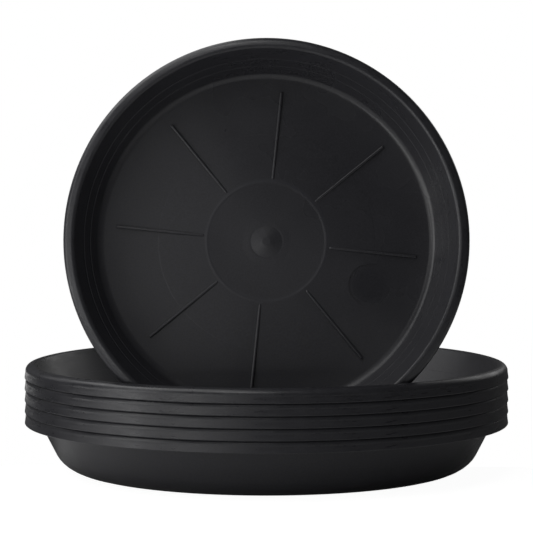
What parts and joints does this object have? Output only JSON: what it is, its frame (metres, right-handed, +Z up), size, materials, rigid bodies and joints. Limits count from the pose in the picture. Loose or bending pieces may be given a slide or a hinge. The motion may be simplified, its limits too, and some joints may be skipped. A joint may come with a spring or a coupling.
{
  "type": "plant pot saucer set",
  "caption": "Round plant pot saucers, large ones nested in a stack and a smaller one stood on its rim inside the top one; every saucer lifts off.",
  "frame": {"origin": "centre of the lowest saucer's base, on the plane that the stack stands on", "axes": "+Z up along the stack's axis; the open face of the standing saucer looks towards -Y; X to its right"},
  "size_m": [0.3198, 0.3198, 0.2804],
  "materials": {
    "black_polypropylene": "satin moulded"
  },
  "bodies": {
    "saucer_1": {"saucer_1": "black_polypropylene"},
    "saucer_2": {"saucer_2": "black_polypropylene"},
    "saucer_3": {"saucer_3": "black_polypropylene"},
    "saucer_4": {"saucer_4": "black_polypropylene"},
    "saucer_5": {"saucer_5": "black_polypropylene"},
    "upright_saucer": {"upright_saucer": "black_polypropylene"}
  },
  "joints": [
    {"name": "saucer_2_lift", "type": "slide", "parent": "saucer_1", "child": "saucer_2", "axis": [0, 0, 1], "range_m": [0, 0.045]},
    {"name": "saucer_3_lift", "type": "slide", "parent": "saucer_2", "child": "saucer_3", "axis": [0, 0, 1], "range_m": [0, 0.045]},
    {"name": "saucer_4_lift", "type": "slide", "parent": "saucer_3", "child": "saucer_4", "axis": [0, 0, 1], "range_m": [0, 0.045]},
    {"name": "saucer_5_lift", "type": "slide", "parent": "saucer_4", "child": "saucer_5", "axis": [0, 0, 1], "range_m": [0, 0.045]},
    {"name": "upright_lift", "type": "slide", "parent": "saucer_5", "child": "upright_saucer", "axis": [0, 0, 1], "range_m": [0, 0.06]}
  ]
}
